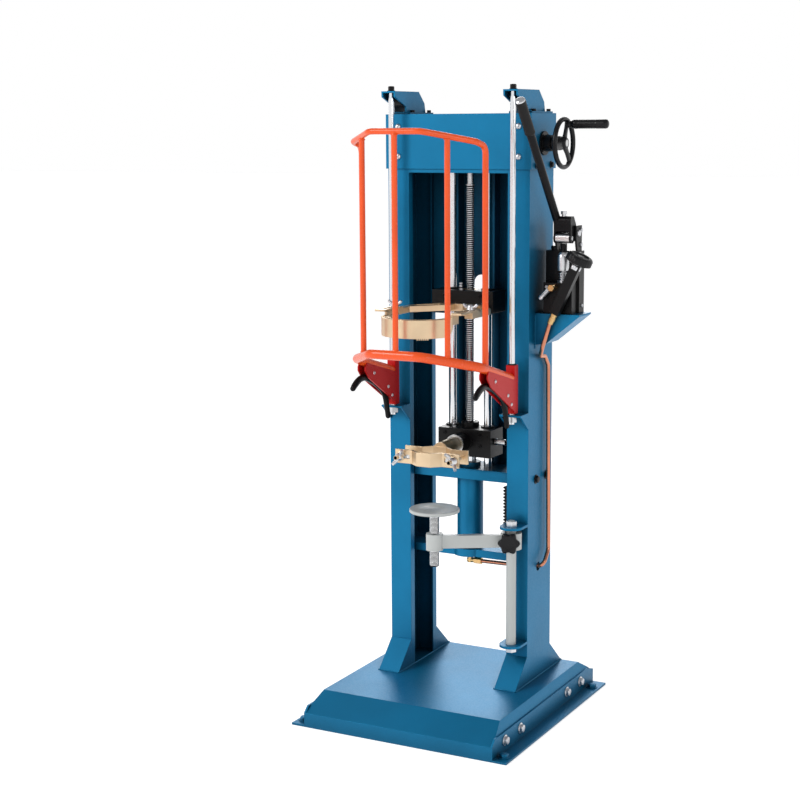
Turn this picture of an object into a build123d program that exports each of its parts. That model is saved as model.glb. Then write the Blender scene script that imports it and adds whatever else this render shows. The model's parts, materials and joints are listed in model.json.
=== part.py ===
from build123d import *

# Floor-standing coil spring compressor, in millimetres.
#
# X points right, Y points back and Z points up. The origin is on the lead screw's
# axis, at floor level. Two open-sided columns stand on a folded base and carry a
# crosshead. The handwheel turns the lead screw, which moves the upper jaw. A hand
# pump raises the lower clamp. A tube guard slides on two chrome rods.
from math import cos, radians, sin
import os

# ---- driving dimensions ----
SHEET = 4.0                                   # thickness of the folded sheet parts

BASE_TOP = 74.0
BASE_FRONT, BASE_REAR = -402.0, 213.0         # lower edges of the platform in Y
TOP_FRONT, TOP_REAR = -331.0, 144.0           # edges of its flat top in Y
SLOPE_FOOT = 35.0                             # height where the end slopes stop
BASE_HALF, BASE_TOP_HALF = 244.0, 235.0
SIDE_FOOT = 50.0                              # height where the side slopes stop
RIB_HALF = 60.0
ANGLE_T, ANGLE_OUT = 5.0, 284.0

COL_IN, COL_OUT, COL_HALF = 131.5, 187.5, 70.0
COL_LIP = 19.0
ROD_X = (COL_IN + COL_OUT) / 2                # guard rods, posts and brackets
GUSSET_H = 68.0

HEAD_LOW, HEAD_TOP = 1322.0, 1452.0           # crosshead
HEAD_X, HEAD_Y = 192.0, 73.0
PLATE_T = 9.0                                 # crosshead bearing plate, below the head

SCREW_D, NECK_D = 22.0, 16.0
SCREW_LOW, NECK_LOW, NECK_TOP = 610.0, 1281.0, 1362.0
GUIDE_X, GUIDE_D, GUIDE_SINK = 48.0, 20.0, 6.0
RUN = 0.05                                    # running clearance on a shaft, radial
WHEEL_Z, WHEEL_X = 1382.0, 243.0
WHEEL_R, RIM_D, SHAFT_D = 55.5, 12.0, 16.0
HANDLE_R, HANDLE_TURN = 46.5, 20.0            # handle's radius, and degrees behind top
BEVEL_NEAR, BEVEL_FAR, BEVEL_GAP = 22.0, 34.0, 0.4

BEAM_LOW, BEAM_TOP = 565.0, 590.0             # cross beam
CYL_LOW, CYL_D, CYL_BORE = 385.0, 65.0, 45.0
PISTON_D, ROD_D, ROD_BORE = CYL_BORE - 2 * RUN, 30.0, 24.0
PISTON_LOW, PISTON_H = 388.0, 30.0
FOOT_LOW = 366.0

SLIDE_FRONT, SLIDE_REAR = -45.0, 26.0
UPPER_LOW, UPPER_TOP, UPPER_HALF = 978.0, 1030.0, 82.0
LOWER_LOW, LOWER_TOP = 622.0, 690.0
JAW_Y, JAW_R, JAW_T, JAW_FLANGE = -270.0, 88.0, 5.0, 18.0
JAW_LOW, JAW_HIGH, YOKE_TOP = 949.0, 991.0, 998.0
ARM_X = 99.0                                  # middle of the upper jaw's arms
LOCK_Y = -205.0                               # jaw's wing screws
CLAMP_Z, CLAMP_H = 650.0, 33.0
CLAMP_BOLT_X = 70.0
STEM_Z = 659.0                                # rear clamp plate's stem

GUARD_Y = -104.0                              # guard rods and support post
GUARD_ROD_D = 14.0
FOOT_Z, BRACKET_TOP = 742.0, 1506.0
SLEEVE_LOW, SLEEVE_TOP = 750.0, 866.0
LEVER_PIVOT = (-150.0, 800.0)                 # brake lever's pivot in Y and Z
RAIL_D, BAR_D = 22.0, 14.0

POST_D, POST_END_D = 24.0, 16.0
POST_LOW, POST_HIGH, POST_PLATE = 179.0, 472.0, 6.0
ARM_Z, ARM_TIP_Y = 440.0, -197.0
KNOB_OUT = Vector(0.2588, -0.9659, 0)         # star knob's axis, 15 degrees off the front

PUMP_Y, TANK_FRONT, TANK_REAR = -10.0, 8.0, 38.0
SHELF_TOP, TANK_TOP = 983.0, 1130.0
PLUNGER_X = 249.0
PIVOT = (12.0, 1172.0)                        # pump lever's pivot in Y and Z
ROLLER = (PUMP_Y, 1161.0)
ROLLER_D = 24.0
LEVER_TOP = Vector(225, -215, 1482)


# ---- shapes ----
def block(x0, x1, y0, y1, z0, z1):
    size = (abs(x1 - x0), abs(y1 - y0), abs(z1 - z0))
    return Pos((x0 + x1) / 2, (y0 + y1) / 2, (z0 + z1) / 2) * Box(*size)


def rod(axis, spot, a, b, dia):
    """A round bar along axis from a to b; spot gives the other two coordinates in order."""
    bar = Cylinder(dia / 2, b - a)
    middle = (a + b) / 2
    if axis == "X":
        return Pos(middle, spot[0], spot[1]) * Rot(0, 90, 0) * bar
    if axis == "Y":
        return Pos(spot[0], middle, spot[1]) * Rot(90, 0, 0) * bar
    return Pos(spot[0], spot[1], middle) * bar


def side_plate(points, x0, x1):
    """A plate with its outline in Y and Z, between two X values."""
    face = make_face(Polyline(*[(0, y, z) for y, z in points], close=True))
    solid = extrude(face, amount=abs(x1 - x0), dir=(1, 0, 0))
    return Pos(min(x0, x1), 0, 0) * solid


def front_plate(points, y0, y1):
    """A plate with its outline in X and Z, between two Y values."""
    face = make_face(Polyline(*[(x, 0, z) for x, z in points], close=True))
    solid = extrude(face, amount=abs(y1 - y0), dir=(0, 1, 0))
    return Pos(0, min(y0, y1), 0) * solid


def hexagon(axis, spot, a, b, flats):
    """A hexagonal prism along axis, laid out as rod() is."""
    prism = extrude(RegularPolygon(flats / 2, 6, major_radius=False), amount=b - a)
    if axis == "X":
        return Pos(a, spot[0], spot[1]) * Rot(0, 90, 0) * prism
    if axis == "Y":
        return Pos(spot[0], b, spot[1]) * Rot(90, 0, 0) * prism
    return Pos(spot[0], spot[1], a) * prism


def bolt(axis, spot, face, out, grip, dia=8.0, flats=13.0, head=6.0):
    """A hex bolt: head stands out of face in direction out (+1 or -1), shank goes in."""
    head_ends = sorted((face, face + out * head))
    shank_ends = sorted((face, face - out * grip))
    return hexagon(axis, spot, *head_ends, flats) + rod(axis, spot, *shank_ends, dia)


def tube_path(points, radii, dia):
    path = FilletPolyline(*points, radius=radii)
    return sweep((path ^ 0) * Circle(dia / 2), path=path)


def tilted_rod(start, end, dia):
    line = Line(start, end)
    return sweep((line ^ 0) * Circle(dia / 2), path=line)


def group(solids):
    return Compound(children=[solid for item in solids for solid in item.solids()])


def both_sides(make):
    """The same piece for the left and the right side; make takes -1 or 1."""
    return [make(side) for side in (-1, 1)]


# ---- base ----
def base_shell(inset):
    rise = inset * 0.55
    ends = [(BASE_FRONT + inset, 0), (BASE_FRONT + inset, SLOPE_FOOT - rise),
            (TOP_FRONT + rise, BASE_TOP - inset), (TOP_REAR - rise, BASE_TOP - inset),
            (BASE_REAR - inset, SLOPE_FOOT - rise), (BASE_REAR - inset, 0)]
    half, top = BASE_HALF - inset, BASE_TOP_HALF - inset
    sides = [(-half, 0), (-half, SIDE_FOOT - rise), (-top, BASE_TOP - inset),
             (top, BASE_TOP - inset), (half, SIDE_FOOT - rise), (half, 0)]
    along = side_plate(ends, -BASE_HALF, BASE_HALF)
    return along & front_plate(sides, BASE_FRONT, BASE_REAR)


def base_platform():
    return base_shell(0) - base_shell(SHEET)


def base_cross_rib():
    half, top = BASE_TOP_HALF - SHEET - 1, BASE_TOP - SHEET
    channel = block(-half, half, -RIB_HALF, RIB_HALF, 0, top)
    return channel - block(-half, half, -RIB_HALF + SHEET, RIB_HALF - SHEET, SHEET, top)


def base_angle(side):
    outline = [(BASE_FRONT, 0), (BASE_FRONT, 36), (BASE_FRONT + 16, 50),
               (172, 50), (BASE_REAR, 38), (BASE_REAR, 0)]
    leg = side_plate(outline, side * BASE_HALF, side * (BASE_HALF + ANGLE_T))
    foot = block(side * (BASE_HALF + ANGLE_T), side * ANGLE_OUT, BASE_FRONT, BASE_REAR, 0, ANGLE_T)
    return leg + foot


def base_bolts():
    pieces = []
    for side in (-1, 1):
        for y in (-333, -246, 36, 124):
            face = side * (BASE_HALF + ANGLE_T)
            pieces.append(bolt("X", (y, 30.5), face, side, ANGLE_T + SHEET, 10, 17, 7))
        for y in (-373, 165):
            pieces.append(bolt("Z", (side * 265, y), ANGLE_T, 1, ANGLE_T, 12, 19, 8))
    return pieces


# ---- columns and crosshead ----
def column(side):
    outer = block(side * COL_IN, side * COL_OUT, -COL_HALF, COL_HALF, BASE_TOP, HEAD_TOP - SHEET)
    room = COL_HALF - SHEET
    inner = block(side * (COL_IN + SHEET), side * (COL_OUT - SHEET), -room, room, BASE_TOP, HEAD_TOP)
    mouth = COL_HALF - COL_LIP
    slot = block(side * COL_IN, side * (COL_IN + SHEET), -mouth, mouth, BASE_TOP, HEAD_TOP)
    return outer - inner - slot


def gusset(side, face, reach, height):
    """A sloped foot box, from the column's face at Y=face to Y=reach on the base."""
    sign = -1 if reach < face else 1
    outline = [(face, BASE_TOP), (reach, BASE_TOP), (face, BASE_TOP + height)]
    inner = [(face, BASE_TOP + SHEET), (reach - sign * 12, BASE_TOP + SHEET),
             (face, BASE_TOP + height - 8)]
    box = side_plate(outline, side * COL_IN, side * COL_OUT)
    return box - side_plate(inner, side * (COL_IN + SHEET), side * (COL_OUT - SHEET))


def column_gussets():
    pieces = []
    for side in (-1, 1):
        pieces.append(gusset(side, -COL_HALF, -140, GUSSET_H))
        pieces.append(gusset(side, COL_HALF, TOP_REAR, GUSSET_H - 4))
    return pieces


def crosshead():
    outer = block(-HEAD_X, HEAD_X, -HEAD_Y, HEAD_Y, HEAD_LOW, HEAD_TOP)
    room = block(-COL_OUT, COL_OUT, -COL_HALF, COL_HALF, HEAD_LOW, HEAD_TOP - SHEET)
    return outer - room - rod("X", (0, WHEEL_Z), COL_OUT, HEAD_X, 40)


def crosshead_plate():
    plate = block(-COL_IN, COL_IN, -COL_HALF, COL_HALF, HEAD_LOW - PLATE_T, HEAD_LOW)
    return plate - rod("Z", (0, 0), HEAD_LOW - PLATE_T, HEAD_LOW, NECK_D + 2 * RUN)


def thrust_bearing():
    ring = rod("Z", (0, 0), HEAD_LOW, HEAD_LOW + 14, 50)
    return ring - rod("Z", (0, 0), HEAD_LOW, HEAD_LOW + 14, NECK_D + 2 * RUN)


def silver_bolts():
    pieces = []
    for side in (-1, 1):
        for out in (-1, 1):
            for z in (1351.5, 1422):
                pieces.append(bolt("Y", (side * 159, z), out * HEAD_Y, out, 10))
    return pieces


def black_bolts():
    pieces = []
    for side in (-1, 1):
        for y in (-43, 43):
            pieces.append(bolt("X", (y, 1331), side * HEAD_X, side, 9, 7, 11, 5))
        for y in (-24, 40):
            pieces.append(bolt("X", (y, 577.5), side * COL_OUT, side, 20, 9, 15, 6))
        for y in (-40, 46):
            for x in (ROD_X - 24, ROD_X + 24):
                pieces.append(bolt("Z", (side * x, y), HEAD_TOP + SHEET, 1, 8, 6, 9, 5))
        pieces.append(bolt("Z", (side * ROD_X, GUARD_Y), BRACKET_TOP, 1, SHEET, 8, 13, 12))
    return pieces


def top_bracket(side):
    """An upside-down channel over the rod's end, on a flange screwed to the crosshead."""
    half = 18.5
    cheek = [(-120, BRACKET_TOP), (-119, 1492), (-64, 1470), (-62, HEAD_TOP + SHEET),
             (38, HEAD_TOP + SHEET), (33, 1478), (3, BRACKET_TOP)]
    inside = [(-130, BRACKET_TOP - SHEET), (-130, HEAD_TOP), (60, HEAD_TOP), (60, 1440),
              (28, 1476), (1, BRACKET_TOP - SHEET)]
    shell = side_plate(cheek, side * (ROD_X - half), side * (ROD_X + half))
    shell -= side_plate(inside, side * (ROD_X - half + SHEET), side * (ROD_X + half - SHEET))
    flange = block(side * (ROD_X - 30), side * (ROD_X + 30), -62, 58, HEAD_TOP, HEAD_TOP + SHEET)
    return shell + flange


def rubber_buffer(side):
    """The guard's end stop: a rubber roll between the bracket's cheeks."""
    edge = 18.5 - SHEET
    return rod("X", (-76, 1484), side * ROD_X - edge, side * ROD_X + edge, 26)


# ---- middle of the frame ----
def back_panel():
    """A sheet with a central slot, two side windows and two stiffening ribs."""
    low, top, face, back = BEAM_LOW, HEAD_LOW - PLATE_T, 62.0, 66.0
    slot_top, window_top, leg_in, leg_out = 1060.0, 960.0, 20.0, 75.0
    panel = block(-COL_IN, COL_IN, face, back, low, top)
    panel -= block(-leg_in, leg_in, face, back, low, slot_top - leg_in)
    panel -= rod("Y", (0, slot_top - leg_in), face, back, 2 * leg_in)
    for side in (-1, 1):
        panel -= block(side * leg_out, side * COL_IN, face, back, low, window_top)
        panel += block(side * 47, side * 51, 30, face, BEAM_TOP, top)
    return panel


def guide_column(side):
    low, high = BEAM_TOP - GUIDE_SINK, HEAD_LOW - PLATE_T + GUIDE_SINK
    return rod("Z", (side * GUIDE_X, 0), low, high, GUIDE_D)


def cross_beam():
    inside = COL_OUT - SHEET
    beam = block(-inside, inside, SLIDE_FRONT, 50, BEAM_LOW, BEAM_TOP)
    return beam + block(-COL_IN, COL_IN, 50, 62, BEAM_LOW, BEAM_TOP)


def cylinder_tube():
    neck_top = BEAM_TOP + 12
    body = rod("Z", (0, 0), CYL_LOW, BEAM_LOW, CYL_D) + rod("Z", (0, 0), BEAM_LOW, neck_top, 52)
    bore = rod("Z", (0, 0), CYL_LOW, BEAM_LOW - 3, CYL_BORE)
    return body - bore - rod("Z", (0, 0), CYL_LOW, neck_top, ROD_D + 2 * RUN)


def cylinder_foot():
    inside = COL_OUT - SHEET
    plate = block(-inside, inside, -30, 30, FOOT_LOW, CYL_LOW)
    return plate + rod("Z", (0, 0), FOOT_LOW, CYL_LOW, 84)


def pipe_fittings():
    """The cylinder's elbow, the nut at the pipe's upper end and the pump's bleed fitting."""
    low, _, lean = valve_line()
    elbow = rod("Z", (0, 0), 343, FOOT_LOW, 13) + rod("X", (0, 349), -6.5, 12, 13)
    elbow += hexagon("X", (0, 349), 12, 32, 15)
    nut = tilted_rod(low - lean * 26, low, 15)
    bleed = hexagon("Y", (234, 1046), -52, -26, 14)
    bleed += tilted_rod(Vector(232, -46, 1048), Vector(204, -46, 1019), 9)
    return [elbow, nut, bleed]


def copper_pipe():
    points = [(28, 0, 349), (176, -4, 352), (204, -10, 363), (200, 27, 392), (196, 27, 850),
              (197, 4, 876), (199, -28, 880), (211, -45, 903), (232, -46, 966)]
    return tube_path(points, [40, 14, 22, 18, 12, 10, 16], 10)


def toothed_rack():
    """A rack on the right column's lip, with its teeth towards the middle."""
    pitch, count, low, root, tip = 8.0, 15, 442.0, 123.0, 118.5
    outline = [(COL_IN, low)]
    for step in range(count):
        z = low + step * pitch
        outline += [(root, z), (tip, z + 2), (tip, z + 5), (root, z + 7)]
    outline += [(COL_IN, low + count * pitch)]
    return front_plate(outline, -62, -50)


# ---- guard rods, feet and support post ----
def guard_rod(side):
    return rod("Z", (side * ROD_X, GUARD_Y), 724, BRACKET_TOP - SHEET, GUARD_ROD_D)


def guard_rod_foot(side):
    plate = block(side * COL_IN, side * COL_OUT, -115, -COL_HALF, FOOT_Z, FOOT_Z + 5)
    cheek = [(-COL_HALF, 706), (-112, FOOT_Z), (-COL_HALF, FOOT_Z)]
    plate += side_plate(cheek, side * COL_IN, side * (COL_IN + SHEET))
    return plate + side_plate(cheek, side * (COL_OUT - SHEET), side * COL_OUT)


def post_bracket(z):
    low, high = z - POST_PLATE / 2, z + POST_PLATE / 2
    plate = block(COL_IN, COL_OUT, GUARD_Y, -COL_HALF, low, high)
    return plate + rod("Z", (ROD_X, GUARD_Y), low, high, COL_OUT - COL_IN)


def support_post():
    half = POST_PLATE / 2
    body = rod("Z", (ROD_X, GUARD_Y), POST_LOW + half, POST_HIGH - half, POST_D)
    return body + rod("Z", (ROD_X, GUARD_Y), POST_LOW - 17, POST_HIGH + 17, POST_END_D)


def frame_nuts():
    nuts = both_sides(lambda side: hexagon("Z", (side * ROD_X, GUARD_Y), FOOT_Z - 13, FOOT_Z, 21))
    half = POST_PLATE / 2
    nuts.append(hexagon("Z", (ROD_X, GUARD_Y), POST_HIGH + half, POST_HIGH + half + 13, 24))
    nuts.append(hexagon("Z", (ROD_X, GUARD_Y), POST_LOW - half - 13, POST_LOW - half, 24))
    return nuts


# ---- strut support ----
def support_bush():
    ring = rod("Z", (ROD_X, GUARD_Y), ARM_Z - 19, ARM_Z + 19, POST_D + 6)
    return ring - rod("Z", (ROD_X, GUARD_Y), ARM_Z - 19, ARM_Z + 19, POST_D + 2 * RUN)


def support_arm():
    """The hub, the flat arm and the threaded boss at its end."""
    arm = Vector(-ROD_X, ARM_TIP_Y - GUARD_Y, 0)
    middle = Vector(ROD_X, GUARD_Y, ARM_Z) + arm * 0.5
    turn = 90 - Vector(0, -1, 0).get_angle(arm)
    bar = Pos(*middle) * Rot(0, 0, turn) * Box(arm.length, 16, 31)
    hub = rod("Z", (ROD_X, GUARD_Y), ARM_Z - 20, ARM_Z + 20, 50)
    boss = rod("Z", (0, ARM_TIP_Y), ARM_Z - 20, ARM_Z + 20, 41)
    body = bar + hub + boss
    body -= rod("Z", (ROD_X, GUARD_Y), ARM_Z - 20, ARM_Z + 20, POST_D + 6 + 2 * RUN)
    hub_middle = Vector(ROD_X, GUARD_Y, ARM_Z + 1)
    body -= tilted_rod(hub_middle + KNOB_OUT * 12, hub_middle + KNOB_OUT * 27, 10 + 2 * RUN)
    return body - rod("Z", (0, ARM_TIP_Y), ARM_Z - 20, ARM_Z + 20, POST_D + 2 * RUN)


def star_knob():
    hub = Vector(ROD_X, GUARD_Y, ARM_Z + 1)
    face = hub + KNOB_OUT * 28
    across = Vector(-KNOB_OUT.Y, KNOB_OUT.X, 0)
    knob = tilted_rod(face, face + KNOB_OUT * 15, 38)
    for step in range(6):
        turn = radians(90 + 60 * step)
        spot = face + across * (18 * cos(turn)) + Vector(0, 0, 18 * sin(turn))
        knob += tilted_rod(spot + KNOB_OUT * 2, spot + KNOB_OUT * 13, 17)
    return knob + tilted_rod(hub + KNOB_OUT * 15.5, face + KNOB_OUT, 10)


def support_disc():
    disc = rod("Z", (0, ARM_TIP_Y), 514, 522, 120)
    return disc + rod("Z", (0, ARM_TIP_Y), 380, 514, POST_D)


# ---- upper slider, jaw and screw ----
def guide_holes(low, high):
    return [rod("Z", (x, 0), low, high, GUIDE_D + 2 * RUN) for x in (-GUIDE_X, GUIDE_X)]


def upper_slider_block():
    body = block(-UPPER_HALF, UPPER_HALF, SLIDE_FRONT, SLIDE_REAR, UPPER_LOW, UPPER_TOP)
    body += rod("Z", (-12, -28), UPPER_TOP, UPPER_TOP + 9, 7)
    for hole in guide_holes(UPPER_LOW, UPPER_TOP):
        body -= hole
    return body


def leadscrew_nut():
    nut = rod("Z", (0, 0), UPPER_LOW - 12, UPPER_LOW, 50) + rod("Z", (0, 0), UPPER_LOW, UPPER_TOP, 36)
    return nut - rod("Z", (0, 0), UPPER_LOW - 12, UPPER_TOP, SCREW_D + 2 * RUN)


def upper_yoke():
    """Two cast arms that spread from the slider's front, each with an oval pocket."""
    low, outer = YOKE_TOP - 14, ARM_X + 10
    yoke = block(-60, 60, SLIDE_FRONT - 8, SLIDE_FRONT, YOKE_TOP - 18, YOKE_TOP)
    for side in (-1, 1):
        points = [(16, SLIDE_FRONT), (60, SLIDE_FRONT), (outer, -116), (outer, LOCK_Y - 9.5),
                  (ARM_X - 10, LOCK_Y - 9.5), (ARM_X - 10, -150), (16, -76)]
        outline = Polyline(*[(side * x, y, low) for x, y in points], close=True)
        yoke += extrude(make_face(outline), amount=YOKE_TOP - low, dir=(0, 0, 1))
        pocket = Box(44, 24, 14)
        for end in (-22, 22):
            pocket += Pos(end, 0, 0) * Cylinder(12, 14)
        yoke -= Pos(side * 69, -96, YOKE_TOP) * Rot(0, 0, -side * 45) * pocket
        yoke -= rod("Z", (side * ARM_X, LOCK_Y), low, YOKE_TOP, 8 + 2 * RUN)
    return yoke


def upper_jaw():
    """Two slotted arms and the flanged half ring that holds the spring's top coil."""
    low, high = YOKE_TOP + 0.3, YOKE_TOP + 5
    ring = rod("Z", (0, JAW_Y), JAW_LOW, JAW_HIGH, 2 * JAW_R)
    ring -= rod("Z", (0, JAW_Y), JAW_LOW, JAW_HIGH - 4, 2 * (JAW_R - JAW_T))
    ring -= rod("Z", (0, JAW_Y), JAW_LOW, JAW_HIGH, 2 * (JAW_R - JAW_FLANGE))
    ring -= block(-JAW_R, JAW_R, JAW_Y, 0, JAW_LOW, JAW_HIGH)
    heel = block(-JAW_R, JAW_R, JAW_Y - 30, JAW_Y + 26, JAW_LOW, JAW_LOW + 26)
    ring -= heel - rod("X", (JAW_Y - 30, JAW_LOW + 26), -JAW_R, JAW_R, 52)
    for side in (-1, 1):
        arm = block(side * (ARM_X - 13), side * (ARM_X + 13), JAW_Y - 10, LOCK_Y + 16, low, high)
        arm -= block(side * (ARM_X - 4.5), side * (ARM_X + 4.5), LOCK_Y - 56, LOCK_Y + 6, low, high)
        drop = block(side * (JAW_R - JAW_T), side * JAW_R, JAW_Y - 6, JAW_Y + 26,
                     JAW_LOW + 26, low)
        ring += arm + drop
    return ring


def wing_screw(side):
    low = YOKE_TOP + 5.3
    head = rod("Z", (side * ARM_X, LOCK_Y), low, low + 8, 15)
    head += block(side * ARM_X - 17, side * ARM_X + 17, LOCK_Y - 2, LOCK_Y + 2, low + 3, low + 15)
    return head + rod("Z", (side * ARM_X, LOCK_Y), YOKE_TOP - 13, low, 8)


def lead_screw():
    return (rod("Z", (0, 0), SCREW_LOW, NECK_LOW, SCREW_D)
            + rod("Z", (0, 0), NECK_LOW, NECK_TOP, NECK_D))


def bevel():
    """One 45-degree gear of the equal pair, as a cone below its apex."""
    near, far = BEVEL_NEAR - BEVEL_GAP, BEVEL_FAR - BEVEL_GAP
    gear = Cone(far, near, BEVEL_FAR - BEVEL_NEAR)
    return Pos(0, 0, -(BEVEL_NEAR + BEVEL_FAR) / 2) * gear


def screw_bevel_gear():
    return Pos(0, 0, WHEEL_Z) * bevel() - lead_screw()


def handwheel_shaft():
    pinion = Pos(0, 0, WHEEL_Z) * Rot(0, -90, 0) * bevel()
    return pinion + rod("X", (0, WHEEL_Z), BEVEL_NEAR, WHEEL_X + 8, SHAFT_D)


def handwheel_bearing():
    flange = rod("X", (0, WHEEL_Z), HEAD_X, HEAD_X + 4, 56) + rod("X", (0, WHEEL_Z), HEAD_X, 214, 38)
    for step in range(4):
        turn = radians(45 + 90 * step)
        spot = (23 * cos(turn), WHEEL_Z + 23 * sin(turn))
        flange += rod("X", spot, HEAD_X + 4, HEAD_X + 7, 8)
    flange += rod("X", (0, WHEEL_Z), COL_OUT, HEAD_X, 40)
    return flange - rod("X", (0, WHEEL_Z), COL_OUT, 214, SHAFT_D + 2 * RUN)


def handle_spot():
    turn = radians(HANDLE_TURN)
    return (HANDLE_R * sin(turn), WHEEL_Z + HANDLE_R * cos(turn))


def handwheel():
    centre = Pos(WHEEL_X, 0, WHEEL_Z) * Rot(0, 90, 0)
    wheel = centre * Torus(WHEEL_R, RIM_D / 2) + rod("X", (0, WHEEL_Z), 216, WHEEL_X + 8, 34)
    for step in range(3):
        turn = 90 - HANDLE_TURN + 120 * step
        spoke = Pos(WHEEL_X, 0, WHEEL_Z) * Rot(turn, 0, 0) * Pos(0, WHEEL_R / 2, 0)
        wheel += spoke * Box(8, WHEEL_R, 20)
    wheel -= rod("X", (0, WHEEL_Z), 216, WHEEL_X + 8, SHAFT_D)
    spot = handle_spot()
    return wheel + rod("X", spot, WHEEL_X + 4, WHEEL_X + 12, 16) + rod("X", spot, WHEEL_X, 343, 10)


def wheel_handle():
    spot = handle_spot()
    grip = rod("X", spot, WHEEL_X + 14, 347, 22)
    return grip - rod("X", spot, WHEEL_X + 14, 344, 10 + 2 * RUN)


# ---- lower slider and clamp ----
def piston_rod():
    body = rod("Z", (0, 0), PISTON_LOW, LOWER_TOP, ROD_D)
    body += rod("Z", (0, 0), PISTON_LOW, PISTON_LOW + PISTON_H, PISTON_D)
    return body - rod("Z", (0, 0), PISTON_LOW + 12, LOWER_TOP, ROD_BORE)


def lower_slider_block():
    body = block(-66, 76, SLIDE_FRONT, SLIDE_REAR, LOWER_LOW, LOWER_TOP)
    body += rod("Z", (0, 0), LOWER_TOP, LOWER_TOP + 12, 44)
    body -= rod("Z", (0, 0), LOWER_TOP, LOWER_TOP + 12, ROD_BORE)
    body += rod("X", (-20, 660), 76, 107, 14) + rod("Z", (-30, -30), LOWER_TOP, LOWER_TOP + 9, 7)
    for hole in guide_holes(LOWER_LOW, LOWER_TOP):
        body -= hole
    return body + rod("Y", (0, STEM_Z), -88, SLIDE_FRONT, 47)


def clamp_outline(flat, crown, thick):
    """The bent strip's outline in X and Y: flat wings, and a crown between them."""
    lean = 0.6 * thick
    near = [(-84, flat), (-40, flat), (-19, crown), (19, crown), (40, flat), (84, flat)]
    sign = 1 if crown < flat else -1
    far = [(84, flat + sign * thick), (40 - lean, flat + sign * thick),
           (19 - lean, crown + sign * thick), (-19 + lean, crown + sign * thick),
           (-40 + lean, flat + sign * thick), (-84, flat + sign * thick)]
    return near + far


def bent_plate(flat, crown):
    outline = [(x, y, CLAMP_Z - CLAMP_H / 2) for x, y in clamp_outline(flat, crown, 4.0)]
    face = make_face(Polyline(*outline, close=True))
    return extrude(face, amount=CLAMP_H, dir=(0, 0, 1))


def clamp_rear():
    """The rear jaw plate on its stem, with the two long clamp bolts."""
    flat = -182.0
    jaw = bent_plate(flat, flat + 18) + rod("Y", (0, STEM_Z), flat + 16, -88, 36)
    for side in (-1, 1):
        spot = (side * CLAMP_BOLT_X, CLAMP_Z)
        jaw += rod("Y", spot, -262, flat, 10) + hexagon("Y", spot, flat, flat + 7, 17)
    return jaw


def clamp_front():
    plate = bent_plate(-236, -254)
    for side in (-1, 1):
        slot = block(side * (CLAMP_BOLT_X - 24), side * (CLAMP_BOLT_X + 8), -240, -228,
                     CLAMP_Z - 5 - RUN, CLAMP_Z + 5 + RUN)
        plate -= slot
    return plate


def clamp_wing_nut(side):
    spot = (side * CLAMP_BOLT_X, CLAMP_Z)
    nut = rod("Y", spot, -248, -236.3, 18)
    nut += Pos(spot[0], -247, CLAMP_Z) * Rot(0, side * 55, 0) * Box(42, 8, 6)
    return nut - rod("Y", spot, -252, -236, 10 + 2 * RUN)


# ---- guard ----
def guard_frame():
    low_front, low_back = Vector(65, -387, 914), Vector(160, -285, 884)
    half = [Vector(ROD_X, GUARD_Y - 11, 835.6), low_back, low_front]
    path = half + [Vector(-p.X, p.Y, p.Z) for p in reversed(half)]
    frame = tube_path(path, [36, 36, 36, 36], RAIL_D)
    corner, front = Vector(156.5, -295, 1389), Vector(64.5, -384, 1413)
    foot = Vector(159, -251.5, 876)
    half = [foot, Vector(159, -251.5, 1378), corner, front]
    path = half + [Vector(-p.X, p.Y, p.Z) for p in reversed(half)]
    frame += tube_path(path, [22, 20, 30, 30, 20, 22], BAR_D)
    for x, y, z0, z1 in ((0, -387, 914, 1413), (108, -341, 900.5, 1401.8), (-108, -341, 900.5, 1401.8)):
        frame += rod("Z", (x, y), z0, z1, 13)
    return frame


def guard_carriage(side):
    """A square sleeve on the guard rod, and two riveted cheeks under the rail."""
    face = GUARD_Y - 10
    outline = [(-255, 871.5), (-262, 862), (-262, 852), (-245, 833), (-126, 764), (face, 757),
               (face, 832.4)]
    body = block(side * ROD_X - 11, side * ROD_X + 11, face, GUARD_Y + 10, SLEEVE_LOW, SLEEVE_TOP)
    for near, far in ((-11, -8), (8, 11)):
        body += side_plate(outline, side * ROD_X + near, side * ROD_X + far)
    for y, z in ((-220, 843), (-130, 776)):
        for near, far in ((-13, -10), (10, 13)):
            body += rod("X", (y, z), side * ROD_X + near, side * ROD_X + far, 7)
    body += rod("X", LEVER_PIVOT, side * ROD_X - 13, side * ROD_X + 13, 6)
    return body - rod("Z", (side * ROD_X, GUARD_Y), SLEEVE_LOW, SLEEVE_TOP, GUARD_ROD_D + 2 * RUN)


def brake_lever(side):
    """The handle in front, pivoted between the cheeks, with the latch tip below."""
    outline = [(-310, 816), (-309, 806), (-300, 811), (-284, 820), (-262, 828), (-240, 825),
               (-215, 816), (-165, 788), (-154, 774), (-141, 718), (-130, 717), (-129, 740),
               (-133, 775), (-141, 800), (-160, 811), (-215, 836), (-236, 842), (-262, 844),
               (-284, 838), (-300, 827)]
    lever = side_plate(outline, side * ROD_X - 6, side * ROD_X + 6)
    return lever - rod("X", LEVER_PIVOT, side * ROD_X - 6, side * ROD_X + 6, 6 + 2 * RUN)


# ---- pump ----
def pump_shelf():
    """A box bracket: top plate, two gussets and a sloped plate between them."""
    left, right, front, back = COL_OUT, 300.0, -35.0, 39.0
    under, low = SHELF_TOP - SHEET, 907.0
    gusset_face = [(left, low), (216, low + 4), (right, under), (left, under)]
    slope = [(216, low + 4), (right, under), (right - 7, under), (212, low + 8)]
    shelf = block(left, right, front, back, under, SHELF_TOP)
    shelf += front_plate(gusset_face, front, front + SHEET)
    shelf += front_plate(gusset_face, back - SHEET, back)
    shelf += front_plate(slope, front + SHEET, back - SHEET)
    return shelf + block(left, left + SHEET, front + SHEET, back - SHEET, low, under)


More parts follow.
